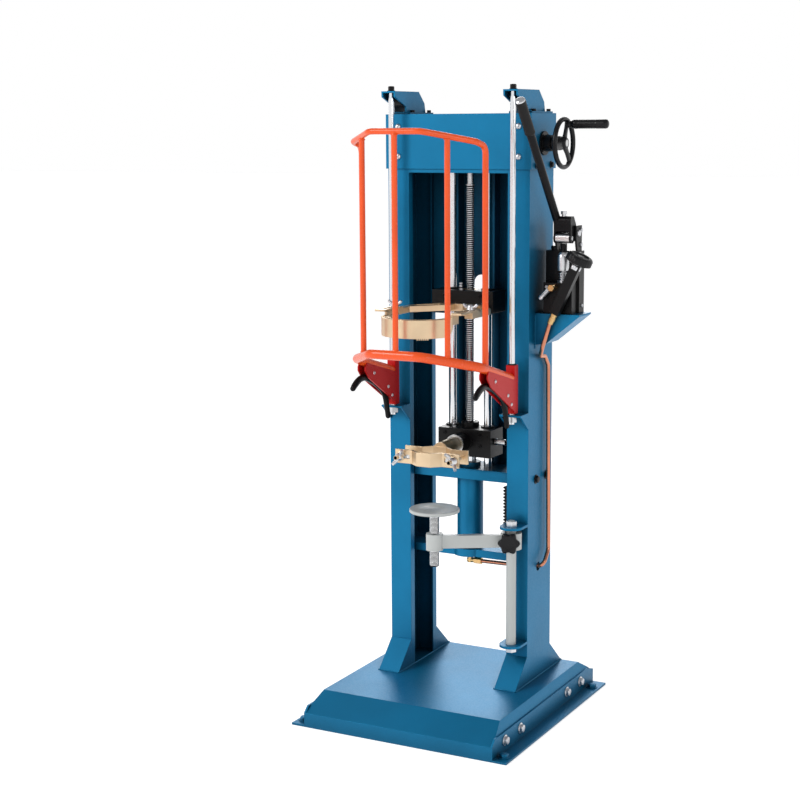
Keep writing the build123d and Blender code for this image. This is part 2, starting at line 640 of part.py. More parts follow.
def pump_body():
    """The oil tank with the lever's yoke, the pump block and the valve housing."""
    tank = block(196, 282, TANK_FRONT, TANK_REAR, SHELF_TOP, TANK_TOP)
    outline = [(TANK_FRONT, TANK_TOP), (TANK_REAR - 4, TANK_TOP), (TANK_REAR - 4, 1190),
               (0, 1190), (0, 1158)]
    for x0 in (221, 272):
        tank += side_plate(outline, x0, x0 + 5)
    tank += rod("X", PIVOT, 221, 277, 10)
    pump = block(205, 277, -26, TANK_FRONT, SHELF_TOP, 1056)
    pump -= rod("Z", (PLUNGER_X, PUMP_Y), SHELF_TOP + 2, 1056, 12 + 2 * RUN)
    return [tank, pump, valve_housing()]


def pump_plunger():
    spot = (PLUNGER_X, PUMP_Y)
    plunger = rod("Z", spot, 1003, 1084, 12) + rod("Z", spot, 1084, 1128, 30)
    return plunger + rod("Z", spot, 1128, ROLLER[1] - ROLLER_D / 2 - 0.3, 16)


def valve_line():
    """The slanted line of the release valve, from its foot to the knob's face."""
    low, high = Vector(242, -46, 985), Vector(298, -46, 1103)
    return low, high, (high - low).normalized()


def valve_housing():
    """The valve's slanted housing, held off the pump block by a foot and a link."""
    low, high, lean = valve_line()
    seat = low + lean * 22
    end = high - lean * 0.3
    turn = Vector(0, 0, 1).get_angle(lean)
    housing = Pos(*((low + end) * 0.5)) * Rot(0, turn, 0) * Box(23, 18, (end - low).length)
    housing += block(230, 250, -31, -26, 990, 1020)
    housing += rod("Y", (seat.X, seat.Z), low.Y, -26, 12)
    return housing - tilted_rod(high - lean * 30, high, 8 + 2 * RUN)


def release_knob():
    _, high, lean = valve_line()
    return tilted_rod(high, high + lean * 24, 64) + tilted_rod(high - lean * 29, high, 8)


def pump_lever():
    """Two cheeks on the pivot, the push roller between them, the socket and the bar."""
    plate = [(20, 1163), (20, 1181), (-2, 1212), (-20, 1212), (-20, 1153), (2, 1153)]
    lever = rod("X", (PUMP_Y, 1201), 227, 271, 24)
    for x0 in (227, 267):
        lever += side_plate(plate, x0, x0 + 4)
    lever += rod("X", ROLLER, 227, 271, ROLLER_D)
    lever += block(231, 267, -20, 2, 1177, 1196)
    lever += tilted_rod(Vector(232, -10, 1201), LEVER_TOP - lever_line() * 96, 19)
    return lever - rod("X", PIVOT, 226, 272, 10 + 2 * RUN)


def lever_line():
    return (LEVER_TOP - Vector(232, -10, 1201)).normalized()


def pump_grip():
    line = lever_line()
    return tilted_rod(LEVER_TOP - line * 96, LEVER_TOP, 25)


# ---- assembly: holes are cut where a piece passes through another ----
def cut(piece, *tools):
    for tool in tools:
        for solid in tool.solids():
            piece -= solid
    return piece


def assemble():
    bolts = base_bolts() + silver_bolts() + black_bolts()
    bolt_group = group(bolts)
    guides = {side: guide_column(side) for side in (-1, 1)}
    rods = group(both_sides(guard_rod))
    post, pipe, tube = support_post(), copper_pipe(), cylinder_tube()
    web_holes = [rod("X", (-6.2, 356), COL_OUT - SHEET, COL_OUT, 22),
                 rod("X", (0, WHEEL_Z), COL_OUT - SHEET, COL_OUT, 40)]
    nodes = {
        "base_platform": cut(base_platform(), bolt_group),
        "base_cross_rib": base_cross_rib(),
        "base_angles": cut(group(both_sides(base_angle)), bolt_group),
        "frame_bolts": bolt_group,
        "left_column": cut(column(-1), bolt_group),
        "right_column": cut(column(1), bolt_group, *web_holes),
        "column_gussets": group(column_gussets()),
        "crosshead": cut(crosshead(), bolt_group),
        "crosshead_plate": cut(crosshead_plate(), *guides.values()),
        "thrust_bearing": thrust_bearing(),
        "top_brackets": cut(group(both_sides(top_bracket)), bolt_group),
        "rubber_buffers": group(both_sides(rubber_buffer)),
        "left_guard_rod": cut(guard_rod(-1), bolt_group),
        "right_guard_rod": cut(guard_rod(1), bolt_group),
        "guard_rod_feet": cut(group(both_sides(guard_rod_foot)), rods),
        "frame_nuts": cut(group(frame_nuts()), rods, post),
        "back_panel": back_panel(),
        "left_guide_column": guides[-1],
        "right_guide_column": guides[1],
        "cross_beam": cut(cross_beam(), tube, rod("Z", (0, 0), BEAM_LOW, BEAM_TOP, 52),
                          bolt_group, *guides.values()),
        "cylinder_tube": tube,
        "cylinder_foot": cylinder_foot(),
        "pipe_fittings": cut(group(pipe_fittings()), pipe),
        "copper_pipe": pipe,
        "toothed_rack": toothed_rack(),
        "post_brackets": cut(group([post_bracket(POST_LOW), post_bracket(POST_HIGH)]), post),
        "support_post": post,
        "pump_shelf": pump_shelf(),
        "pump_body": group(pump_body()),
        "handwheel_bearing": handwheel_bearing(),
        "upper_slider_block": cut(upper_slider_block(), rod("Z", (0, 0), UPPER_LOW, UPPER_TOP, 36)),
        "leadscrew_nut": leadscrew_nut(),
        "upper_yoke": upper_yoke(),
        "upper_jaw": upper_jaw(),
        "left_wing_screw": wing_screw(-1),
        "right_wing_screw": wing_screw(1),
        "lead_screw": lead_screw(),
        "screw_bevel_gear": screw_bevel_gear(),
        "handwheel_shaft": handwheel_shaft(),
        "handwheel": handwheel(),
        "wheel_handle": wheel_handle(),
        "lower_slider_block": cut(lower_slider_block(), rod("Z", (0, 0), LOWER_LOW, LOWER_TOP, ROD_D)),
        "piston_rod": piston_rod(),
        "clamp_rear": clamp_rear(),
        "clamp_front": clamp_front(),
        "left_clamp_nut": clamp_wing_nut(-1),
        "right_clamp_nut": clamp_wing_nut(1),
        "guard_frame": guard_frame(),
        "left_guard_carriage": guard_carriage(-1),
        "right_guard_carriage": guard_carriage(1),
        "left_brake_lever": brake_lever(-1),
        "right_brake_lever": brake_lever(1),
        "support_bush": support_bush(),
        "support_arm": support_arm(),
        "star_knob": star_knob(),
        "support_disc": support_disc(),
        "pump_lever": pump_lever(),
        "pump_grip": pump_grip(),
        "pump_plunger": pump_plunger(),
        "release_knob": release_knob(),
    }
    frame = nodes["guard_frame"]
    for name in ("left_guard_carriage", "right_guard_carriage"):
        nodes[name] = cut(nodes[name], frame)
    return nodes


os.makedirs("parts", exist_ok=True)
for name, shape in assemble().items():
    export_step(shape, f"parts/{name}.step")
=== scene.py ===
"""Looks of the coil spring compressor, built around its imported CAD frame.

Shapes are given in millimetres, and Shape.piece turns them into metres. The camera,
the floor, the lamps and the shader distances are in metres. Places come from the
frame's own boxes where that is simple, and otherwise from the dimensions below.
"""
import json
from math import cos, pi, radians, sin

import bpy
from mathutils import Matrix, Vector


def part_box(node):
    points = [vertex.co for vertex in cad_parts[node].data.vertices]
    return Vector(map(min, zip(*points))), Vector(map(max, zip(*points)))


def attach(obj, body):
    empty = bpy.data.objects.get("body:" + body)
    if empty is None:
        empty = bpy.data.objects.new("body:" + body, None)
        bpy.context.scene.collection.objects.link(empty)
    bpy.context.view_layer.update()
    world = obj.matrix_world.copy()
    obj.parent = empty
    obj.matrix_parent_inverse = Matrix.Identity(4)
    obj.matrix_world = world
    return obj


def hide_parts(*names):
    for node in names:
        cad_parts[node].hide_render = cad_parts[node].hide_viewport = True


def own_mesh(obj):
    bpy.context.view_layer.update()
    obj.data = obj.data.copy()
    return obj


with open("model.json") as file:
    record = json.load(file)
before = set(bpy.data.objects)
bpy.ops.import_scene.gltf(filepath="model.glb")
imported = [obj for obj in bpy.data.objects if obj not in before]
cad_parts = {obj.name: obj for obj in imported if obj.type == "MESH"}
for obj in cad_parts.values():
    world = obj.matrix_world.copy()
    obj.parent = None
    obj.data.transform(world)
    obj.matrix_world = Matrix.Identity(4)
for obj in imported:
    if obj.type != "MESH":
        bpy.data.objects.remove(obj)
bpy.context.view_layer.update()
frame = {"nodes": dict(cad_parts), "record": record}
NODES = frame["nodes"]
MM = 0.001
TAU = 2 * pi
X, Y, Z = Vector((1, 0, 0)), Vector((0, 1, 0)), Vector((0, 0, 1))

# ---- the machine's dimensions ----
BASE_TOP = 74.0                                # top face of the base platform
COLUMN_IN, COLUMN_OUT, COLUMN_HALF = 131.5, 187.5, 70.0    # column's side faces and half depth
ROD_X, ROD_Y = 159.5, -104                     # guard rods, and the support post
SLIDER_ROD_X = 48                              # guide columns on each side of the screw
SCREW_DIA, SCREW_PITCH = 22, 5
SUPPORT_DIA, SUPPORT_PITCH = 24, 3
JAW_RADIUS, JAW_FLANGE = 88, 991.0             # upper jaw's outside, and the top of its flange
CLAMP_BOLT_X, CLAMP_Z = 70, 650
STEM_FACE, STEM_Z = -89.5, 659                 # front of the lower slider's boss, stem's axis
WHEEL_X, WHEEL_RADIUS, WHEEL_BAR = 243.0, 55.5, 5.9        # handwheel's rim and its thickness
WING_LEAN = 55                                 # how far the clamp's wing nuts are turned, degrees
KNOB_OUT = Vector((0.2588, -0.9659, 0))        # the star knob's axis, 15 degrees off the front
KNOB_HUB = Vector((ROD_X, ROD_Y, 441))
PUMP_X, PUMP_Y = 249, -10                      # plunger and pump block
ROLLER_Z = 1161
PLUNGER_HEAD = 1084.0
LEVER_FOOT, LEVER_TOP = Vector((232, -10, 1201)), Vector((225, -215, 1482))
GRIP_LENGTH = 96
VALVE_AXIS = Vector((56, 0, 118)).normalized()
VALVE_FOOT, VALVE_FACE = Vector((242, -46, 985)), Vector((298, -46, 1103))
BLEED_START, BLEED_END = Vector((232, -46, 1048)), Vector((204, -46, 1019))


def span(node):
    """A node's lowest and highest corners, in millimetres."""
    low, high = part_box(node)
    return low / MM, high / MM


def middle(node):
    low, high = span(node)
    return (low + high) / 2


# ---- camera, floor and light ----
CAMERA_PLACE = Vector((1.7566, -3.6380, 1.4257))
CAMERA_YAW, CAMERA_DOWN, CAMERA_ROLL = radians(28.24), radians(9.42), radians(-0.39)
CAMERA_LENS = 74.5


def add_camera():
    level = cos(CAMERA_DOWN)
    ahead = Vector((-sin(CAMERA_YAW) * level, cos(CAMERA_YAW) * level, -sin(CAMERA_DOWN)))
    right = ahead.cross(Z).normalized()
    up = right.cross(ahead)
    turned_right = right * cos(CAMERA_ROLL) + up * sin(CAMERA_ROLL)
    turned_up = up * cos(CAMERA_ROLL) - right * sin(CAMERA_ROLL)
    camera = bpy.data.objects.new("camera", bpy.data.cameras.new("camera"))
    camera.data.lens = CAMERA_LENS
    axes = Matrix((turned_right, turned_up, -ahead)).transposed().to_4x4()
    camera.matrix_world = Matrix.Translation(CAMERA_PLACE) @ axes
    bpy.context.scene.collection.objects.link(camera)
    bpy.context.scene.camera = camera


def add_light(name, place, size, power, target=(0, -0.1, 0.8)):
    light = bpy.data.objects.new(name, bpy.data.lights.new(name, "AREA"))
    light.data.shape = "RECTANGLE"
    light.data.size, light.data.size_y = size
    light.data.energy = power
    light.location = place
    light.rotation_euler = (Vector(place) - Vector(target)).to_track_quat("Z", "Y").to_euler()
    bpy.context.scene.collection.objects.link(light)


def add_studio():
    """White at the horizon, dimmer overhead, a white floor and three soft lamps."""
    world = bpy.data.worlds.new("studio")
    world.use_nodes = True
    tree = world.node_tree
    place = tree.nodes.new("ShaderNodeTexCoord")
    split = tree.nodes.new("ShaderNodeSeparateXYZ")
    ramp = tree.nodes.new("ShaderNodeValToRGB")
    ramp.color_ramp.elements[0].position = 0.14
    ramp.color_ramp.elements[0].color = (1, 1, 1, 1)
    ramp.color_ramp.elements[1].position = 0.42
    ramp.color_ramp.elements[1].color = (0.42, 0.42, 0.43, 1)
    tree.links.new(place.outputs["Generated"], split.inputs["Vector"])
    tree.links.new(split.outputs["Z"], ramp.inputs["Fac"])
    tree.links.new(ramp.outputs["Color"], tree.nodes["Background"].inputs["Color"])
    tree.nodes["Background"].inputs["Strength"].default_value = 1.0
    bpy.context.scene.world = world
    add_light("key", (-2.2, -2.9, 3.1), (0.9, 1.6), 78)
    add_light("side_fill", (3.2, -1.9, 2.3), (0.7, 1.8), 16)
    add_light("back_fill", (-1.5, 3.4, 2.4), (1.8, 2.2), 45)
    bpy.context.scene.view_settings.view_transform = "Standard"
    reach = 40
    mesh = bpy.data.meshes.new("floor")
    mesh.from_pydata([(-reach, -reach, 0), (reach, -reach, 0), (reach, reach, 0), (-reach, reach, 0)],
                     [], [(0, 1, 2, 3)])
    ground = bpy.data.objects.new("floor", mesh)
    bpy.context.scene.collection.objects.link(ground)
    mesh.materials.append(plain_floor())


# ---- materials ----
def shader(name):
    """A new material, its node tree and its main shader."""
    material = bpy.data.materials.new(name)
    material.use_nodes = True
    return material, material.node_tree, material.node_tree.nodes["Principled BSDF"]


def noise(tree, scale, detail=3.0, stretch=None):
    """Object-space noise, drawn out along an axis when stretch is given."""
    texture = tree.nodes.new("ShaderNodeTexNoise")
    texture.inputs["Scale"].default_value = scale
    texture.inputs["Detail"].default_value = detail
    place = tree.nodes.new("ShaderNodeTexCoord")
    if stretch is None:
        tree.links.new(place.outputs["Object"], texture.inputs["Vector"])
        return texture.outputs["Fac"]
    mapping = tree.nodes.new("ShaderNodeMapping")
    mapping.inputs["Scale"].default_value = stretch
    tree.links.new(place.outputs["Object"], mapping.inputs["Vector"])
    tree.links.new(mapping.outputs["Vector"], texture.inputs["Vector"])
    return texture.outputs["Fac"]


def spread(tree, value, low, high):
    """Maps a noise of about 0.3 to 0.7 onto low to high."""
    ramp = tree.nodes.new("ShaderNodeMapRange")
    ramp.inputs["From Min"].default_value = 0.3
    ramp.inputs["From Max"].default_value = 0.7
    ramp.inputs["To Min"].default_value = low
    ramp.inputs["To Max"].default_value = high
    tree.links.new(value, ramp.inputs["Value"])
    return ramp.outputs["Result"]


def tint(tree, value, dark, light):
    """A colour that runs from dark to light with a noise of about 0.3 to 0.7."""
    mix = tree.nodes.new("ShaderNodeValToRGB")
    mix.color_ramp.elements[0].position = 0.3
    mix.color_ramp.elements[1].position = 0.7
    mix.color_ramp.elements[0].color = (*dark, 1)
    mix.color_ramp.elements[1].color = (*light, 1)
    tree.links.new(value, mix.inputs["Fac"])
    return mix.outputs["Color"]


def paint_cavity_shade(tree, colour, reach):
    """Paints shade into a colour: darkens it inside channels and corners closer than reach, in metres."""
    cover = tree.nodes.new("ShaderNodeAmbientOcclusion")
    cover.samples = 8
    cover.inputs["Distance"].default_value = reach
    curve = tree.nodes.new("ShaderNodeMapRange")
    curve.inputs["From Min"].default_value = 0.2
    curve.inputs["From Max"].default_value = 0.8
    curve.inputs["To Min"].default_value = 0.16
    curve.inputs["To Max"].default_value = 1.0
    tree.links.new(cover.outputs["AO"], curve.inputs["Value"])
    scale = tree.nodes.new("ShaderNodeVectorMath")
    scale.operation = "SCALE"
    tree.links.new(colour, scale.inputs[0])
    tree.links.new(curve.outputs["Result"], scale.inputs["Scale"])
    return scale.outputs["Vector"]


def surface(name, colour, metal, rough, vary=0.1, grain=600, bump=0.05, coat=0.0,
            stretch=None, edge=0.0, depth=0.0002, gloss=0.5, shade=0.0):
    """One finish: noisy colour, noisy roughness, a fine bump and softened edges, with painted shade in
    channels and corners when shade is set.
    """
    material, tree, bsdf = shader(name)
    dark = [c * (1 - vary) for c in colour]
    light = [min(1.0, c * (1 + vary)) for c in colour]
    blotch = noise(tree, 9, 5)
    colour_out = tint(tree, blotch, dark, light)
    if shade:
        # painted shade: the base colour is darkened by ambient occlusion in channels and corners
        colour_out = paint_cavity_shade(tree, colour_out, shade)
    tree.links.new(colour_out, bsdf.inputs["Base Color"])
    fine = noise(tree, grain, 2, stretch)
    tree.links.new(spread(tree, fine, rough * 0.85, rough * 1.2), bsdf.inputs["Roughness"])
    bsdf.inputs["Metallic"].default_value = metal
    bsdf.inputs["Specular IOR Level"].default_value = gloss
    bsdf.inputs["Coat Weight"].default_value = coat
    bsdf.inputs["Coat Roughness"].default_value = 0.12
    relief = tree.nodes.new("ShaderNodeBump")
    relief.inputs["Strength"].default_value = bump
    relief.inputs["Distance"].default_value = depth
    tree.links.new(fine, relief.inputs["Height"])
    if edge:
        soft = tree.nodes.new("ShaderNodeBevel")
        soft.inputs["Radius"].default_value = edge
        tree.links.new(soft.outputs["Normal"], relief.inputs["Normal"])
    tree.links.new(relief.outputs["Normal"], bsdf.inputs["Normal"])
    return material


def plain_floor():
    """A pale floor that glows a little, so that it stays white far away."""
    material = surface("pale_floor", (0.62, 0.62, 0.62), 0.0, 0.6, vary=0.01, bump=0.02, gloss=0.1)
    bsdf = material.node_tree.nodes["Principled BSDF"]
    bsdf.inputs["Emission Color"].default_value = (1, 1, 1, 1)
    bsdf.inputs["Emission Strength"].default_value = 0.69
    return material


def make_materials():
    """Every finish by its slot's name, and three that only Blender pieces use."""
    peel = dict(grain=260, bump=0.12)
    brush = dict(stretch=(1, 1, 0.06), grain=900, bump=0.1)
    return {
        # the blue paint carries painted shade in its channels and corners (shade=0.16)
        "blue_paint": surface("blue_powder_coat", (0.003, 0.165, 0.335), 0.45, 0.38, 0.07,
                              edge=0.0016, gloss=0.25, shade=0.16, **peel),
        "orange_paint": surface("orange_powder_coat", (0.78, 0.085, 0.012), 0.0, 0.24, 0.06,
                                coat=0.08, gloss=0.35, **peel),
        "red_paint": surface("red_powder_coat", (0.48, 0.008, 0.008), 0.25, 0.32, 0.08,
                             edge=0.001, gloss=0.2, **peel),
        "black_paint": surface("black_paint", (0.003, 0.003, 0.0035), 0.0, 0.32, 0.2,
                               edge=0.0015, gloss=0.2, **peel),
        "lever_steel": surface("black_oxide", (0.004, 0.004, 0.005), 0.3, 0.28, 0.2, gloss=0.22, **brush),
        "chrome": surface("ground_chrome", (0.78, 0.79, 0.81), 1.0, 0.13, 0.03, **brush),
        "bright_steel": surface("turned_steel", (0.62, 0.62, 0.62), 1.0, 0.27, 0.08,
                                stretch=(0.06, 0.06, 1), grain=1400, bump=0.15),
        "thread_crest": surface("rolled_thread_steel", (0.80, 0.81, 0.82), 1.0, 0.2, 0.04, bump=0.02),
        # painted shade: near-black steel for thread roots and the gaps between the jaw's teeth
        "thread_root": surface("painted_crevice_shade", (0.012, 0.012, 0.014), 0.3, 0.45, 0.2, bump=0.02),
        "zinc_bolts": surface("zinc_plate", (0.66, 0.67, 0.69), 1.0, 0.3, 0.12, edge=0.0006),
        "yellow_zinc": surface("yellow_passivate", (0.72, 0.55, 0.36), 0.9, 0.33, 0.16,
                               edge=0.001, grain=420, bump=0.12),
        # a much darker copy of the yellow zinc, used for the clamp stem's sleeve
        "stem_zinc": surface("darker_passivate", (0.20, 0.165, 0.10), 0.85, 0.36, 0.2,
                             edge=0.0008, grain=420, bump=0.12),
        "brass": surface("machined_brass", (0.66, 0.43, 0.19), 1.0, 0.26, 0.1, edge=0.0006),
        "copper": surface("drawn_copper", (0.62, 0.25, 0.15), 1.0, 0.24, 0.14, **brush),
        "black_plastic": surface("moulded_plastic", (0.004, 0.004, 0.005), 0.0, 0.28, 0.15,
                                 grain=800, bump=0.2, edge=0.001, gloss=0.25),
        "black_rubber": surface("grip_rubber", (0.005, 0.005, 0.005), 0.0, 0.45, 0.2,
                                grain=1100, bump=0.3, gloss=0.25),
        "grey_paint": surface("light_grey_paint", (0.46, 0.48, 0.47), 0.1, 0.36, 0.05,
                              coat=0.1, edge=0.0012, **peel),
    }


# ---- mesh building ----
def facing(place, direction):
    """A transform that puts local Z along direction and the local origin at place."""
    turn = Vector(direction).to_track_quat("Z", "Y").to_matrix().to_4x4()
    return Matrix.Translation(Vector(place)) @ turn


def ring(radius):
    """A circle's radius at each angle."""
    def rule(turn):
        return radius
    return rule


def hex_ring(flats, limit):
    """A hexagon's radius at each angle, cut back to a circle of radius limit."""
    def radius(turn):
        off = (turn + pi / 6) % (pi / 3) - pi / 6
        return min(flats / 2 / cos(off), limit)
    return radius


class Shape:
    """Collects closed surfaces and makes one piece of them."""

    def __init__(self):
        self.points, self.faces = [], []

    def strip(self, rings, closed=False):
        """Joins rings of equally many points, and caps the ends unless closed."""
        start, count = len(self.points), len(rings[0])
        for points in rings:
            self.points += [Vector(p) for p in points]
        last = len(rings) if closed else len(rings) - 1
        for i in range(last):
            a, b = start + i * count, start + (i + 1) % len(rings) * count
            for j in range(count):
                k = (j + 1) % count
                self.faces.append((a + j, a + k, b + k, b + j))
        if not closed:
            self.faces.append(tuple(start + j for j in reversed(range(count))))
            end = start + (len(rings) - 1) * count
            self.faces.append(tuple(end + j for j in range(count)))

    def turned(self, place, direction, levels, segments=40):
        """A solid of rings: levels are (height, radius or radius of the angle)."""
        move = facing(place, direction)
        rings = []
        for height, radius in levels:
            rule = radius if callable(radius) else ring(radius)
            points = []
            for step in range(segments):
                turn = TAU * step / segments
                size = rule(turn)
                points.append(move @ Vector((size * cos(turn), size * sin(turn), height)))
            rings.append(points)
        self.strip(rings)

    def tube(self, points, radius, segments=12):
        """A round bar along points; radius is a number or a function of the step."""
        points = [Vector(p) for p in points]
        rings, normal = [], None
        for i, point in enumerate(points):
            ahead = (points[min(i + 1, len(points) - 1)] - points[max(i - 1, 0)]).normalized()
            if normal is None:
                normal = ahead.orthogonal().normalized()
            normal = (normal - ahead * normal.dot(ahead)).normalized()
            side = ahead.cross(normal)
            size = radius(i) if callable(radius) else radius
            rings.append([point + (normal * cos(TAU * j / segments)
                                   + side * sin(TAU * j / segments)) * size
                          for j in range(segments)])
        self.strip(rings)

    def plate(self, outline, place, across, along, thick, edge=0.5):
        """A flat plate with chamfered edges: outline is in (across, along) from place."""
        across, along = Vector(across), Vector(along)
        out = across.cross(along)
        centre = Vector((sum(p[0] for p in outline), sum(p[1] for p in outline), 0)) / len(outline)

        def level(height, inset):
            points = []
            for u, v in outline:
                spot = Vector((u, v, 0))
                spot += (centre - spot).normalized() * inset
                points.append(Vector(place) + across * spot.x + along * spot.y + out * height)
            return points
        self.strip([level(0, edge), level(edge, 0), level(thick - edge, 0), level(thick, edge)])

    def bolt(self, place, out, flats, height, washer=True):
        """A chamfered hex head on a washer."""
        rise = 0.0
        if washer:
            self.turned(place, out, [(0, flats * 0.72), (0.4, flats * 0.75),
                                     (1.4, flats * 0.75), (1.6, flats * 0.72)], 32)
            rise = 1.6
        corner = flats / 2 / cos(pi / 6)
        levels = [(rise, hex_ring(flats, corner * 0.97)), (rise + 0.5, hex_ring(flats, corner)),
                  (rise + height - 1.2, hex_ring(flats, corner)),
                  (rise + height, hex_ring(flats, flats * 0.49))]
        self.turned(place, out, levels, 48)
        dish = rise + height
        self.turned(place, out, [(dish - 0.5, flats * 0.36), (dish + 0.35, flats * 0.34),
                                 (dish + 0.35, flats * 0.05)], 24)

    def socket_screw(self, place, out, dia, height):
        """A cylinder head with a knurled side and a hex recess ring."""
        def rib(turn):
            return dia / 2 * (1 + 0.02 * (1 if int(turn * 24 / TAU * 2) % 2 else -1))
        self.turned(place, out, [(0, rib), (height - 0.8, rib), (height, dia * 0.44),
                                 (height, hex_ring(dia * 0.55, dia)),
                                 (height - 1.8, hex_ring(dia * 0.5, dia))], 48)

    def rivet(self, place, out, dia, height):
        """A round head."""
        levels = [(height * sin(a), dia / 2 * cos(a)) for a in
                  [pi / 2 * step / 6 for step in range(6)]]
        self.turned(place, out, levels + [(height, 0.2)], 24)

    def bead(self, start, end, size=2.3, pitch=3.2):
        """A weld: overlapping scales along a straight joint."""
        start, end = Vector(start), Vector(end)
        count = max(4, int((end - start).length / pitch * 4))
        points = [start.lerp(end, i / count) for i in range(count + 1)]
        self.tube(points, lambda i: size * (0.84 + 0.16 * abs(sin(pi * i / 4))), 8)

    def piece(self, name, body, material, slot, replaces=(), sharp=35):
        """Makes the mesh, joins it to its body and hides the CAD nodes it stands in for."""
        mesh = bpy.data.meshes.new(name)
        mesh.from_pydata([p * MM for p in self.points], [], self.faces)
        for polygon in mesh.polygons:
            polygon.use_smooth = True
        mesh.set_sharp_from_angle(angle=radians(sharp))
        mesh.materials.append(material)
        mesh.update()
        item = bpy.data.objects.new(name, mesh)
        bpy.context.scene.collection.objects.link(item)
        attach(item, body)
        if replaces:
            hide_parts(*replaces)
        return item


# ---- threads, springs and screws ----
def thread(name, body, look, place, low, high, dia, pitch, depth, crest, replaces=()):
    """A core painted near black as the shade between the turns, with one bright square ridge wound up it.
    """
    core = Shape()
    core.turned((*place, low), Z, [(0, dia / 2 - 2), (1.5, dia / 2 - depth),
                                   (high - low, dia / 2 - depth)], 32)
    core.piece(f"{name}_core", body, look["thread_root"], "bright_steel", replaces)
    ridge = Shape()
    per_turn = 24
    count = int((high - low - crest - 2) / pitch * per_turn)
    rings = []
    for step in range(count + 1):
        turn, z = TAU * step / per_turn, low + 1 + pitch * step / per_turn
        reach = min(1.0, step / 8, (count - step) / 8)
        outer = dia / 2 - depth * (1 - reach) + 0.02
        inner = dia / 2 - depth - 0.2
        rings.append([Vector((place[0] + r * cos(turn), place[1] + r * sin(turn), z + rise))
                      for r, rise in ((inner, 0), (outer, crest * 0.22), (outer, crest * 0.78),
                                      (inner, crest))])
    ridge.strip(rings)
    ridge.piece(f"{name}_thread", body, look["thread_crest"], "bright_steel", sharp=50)


def helix(place, radius, low, high, turns, per_turn=24):
    """Points of an upright coil."""
    count = int(turns * per_turn)
    return [Vector((place[0] + radius * cos(TAU * i / per_turn),
                    place[1] + radius * sin(TAU * i / per_turn),
                    low + (high - low) * i / count)) for i in range(count + 1)]


def lead_screw(look):
    """The threaded screw up to its plain neck, which stands in the bearing plate."""
    low, high = span("lead_screw")
    neck_low, neck = span("crosshead_plate")[0].z - 32, 8.0
    thread("lead_screw", "screw", look, (0, 0), low.z, neck_low, SCREW_DIA, SCREW_PITCH, 2.2, 2.4,
           ["lead_screw"])
    shape = Shape()
    shape.turned((0, 0, neck_low), Z, [(0, 10.9), (3, 10.9), (4, neck), (high.z - neck_low, neck)])
    shape.piece("lead_screw_neck", "screw", look["bright_steel"], "bright_steel")


def support_screw(look):
    """The support's threaded rod, and the dished disc on top of it."""
    low, high = span("support_disc")
    centre = (low + high) / 2
    face = high.z - 8
    thread("support_screw", "support_disc", look, (centre.x, centre.y), low.z, face, SUPPORT_DIA,
           SUPPORT_PITCH, 1.3, 2.1)
    disc = Shape()
    disc.turned((centre.x, centre.y, face), Z, [(-3, 15), (-0.2, 16), (0, 58.8), (1.2, 60), (6.8, 60),
                                                (8, 58.8), (8, 20), (7.4, 19), (7.4, 4)], 72)
    disc.piece("support_disc_plate", "support_disc", look["grey_paint"], "grey_paint",
               ["support_disc"])


def plunger_spring(look):
    """The spring between the pump block and the plunger's head."""
    centre = middle("pump_plunger")
    pump_low, wire = span("pump_body")[0].z, 1.4
    low, high = pump_low + 73, pump_low + 101
    coil = Shape()
    coil.tube(helix(centre, 11, low + wire, high - wire, 6), wire, 10)
    spring = coil.piece("plunger_spring", "frame", look["zinc_bolts"], "zinc_bolts", sharp=80)
    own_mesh(spring)


def frame_bolts(look):
    """The base's side bolts and floor bolts, and the crosshead's, columns' and brackets' bolts."""
    silver, black, blue = Shape(), Shape(), Shape()
    plate, head = span("base_platform"), span("crosshead")
    bracket, column = span("top_brackets"), span("right_column")
    rod_x = (column[0].x + column[1].x) / 2
    angle_face = plate[1].x + 5
    rod_y = middle("right_guard_rod").y
    for side in (-1, 1):
        out = X * side
        for y in (-333, -246, 36, 124):
            silver.bolt((side * angle_face, y, 30.5), out, 17, 7)
        for y in (-373, 165):
            blue.bolt((side * 265, y, 5), Z, 19, 8)
        for z in (1351.5, 1422):
            for y, away in ((head[0].y, -Y), (head[1].y, Y)):
                silver.rivet((side * 159, y, z), away, 15, 5.5)
        for y in (-43, 43):
            black.bolt((side * head[1].x, y, 1331), out, 11, 5)
        for y in (-24, 40):
            black.bolt((side * column[1].x, y, 577.5), out, 15, 6)
        for y in (-40, 46):
            for x in (rod_x - 24, rod_x + 24):
                black.socket_screw((side * x, y, head[1].z + 4), Z, 10, 6)
        black.bolt((side * rod_x, rod_y, bracket[1].z), Z, 13, 10)
    silver.piece("silver_bolts", "frame", look["zinc_bolts"], "zinc_bolts", ["frame_bolts"])
    black.piece("black_bolts", "frame", look["black_paint"], "black_paint")
    blue.piece("floor_bolts", "frame", look["blue_paint"], "blue_paint")


def wing_nut(shape, place, out, across, size):
    """A round hub with two rounded wings; across is the wings' direction."""
    place, out, across = Vector(place), Vector(out), Vector(across)
    shape.turned(place, out, [(0, size * 0.42), (0.8, size * 0.46), (size * 0.35, size * 0.40),
                              (size * 0.6, size * 0.30), (size * 0.66, size * 0.24)], 32)
    for side in (-1, 1):
        base = place + out * size * 0.3
        path = []
        for step in range(9):
            t = step / 8
            path.append(base + across * side * size * (0.2 + 0.72 * t) + out * size * 0.42 * t * t)
        shape.tube(path, lambda i: size * (0.14 + 0.06 * sin(pi * min(i, 7.6) / 8)), 12)


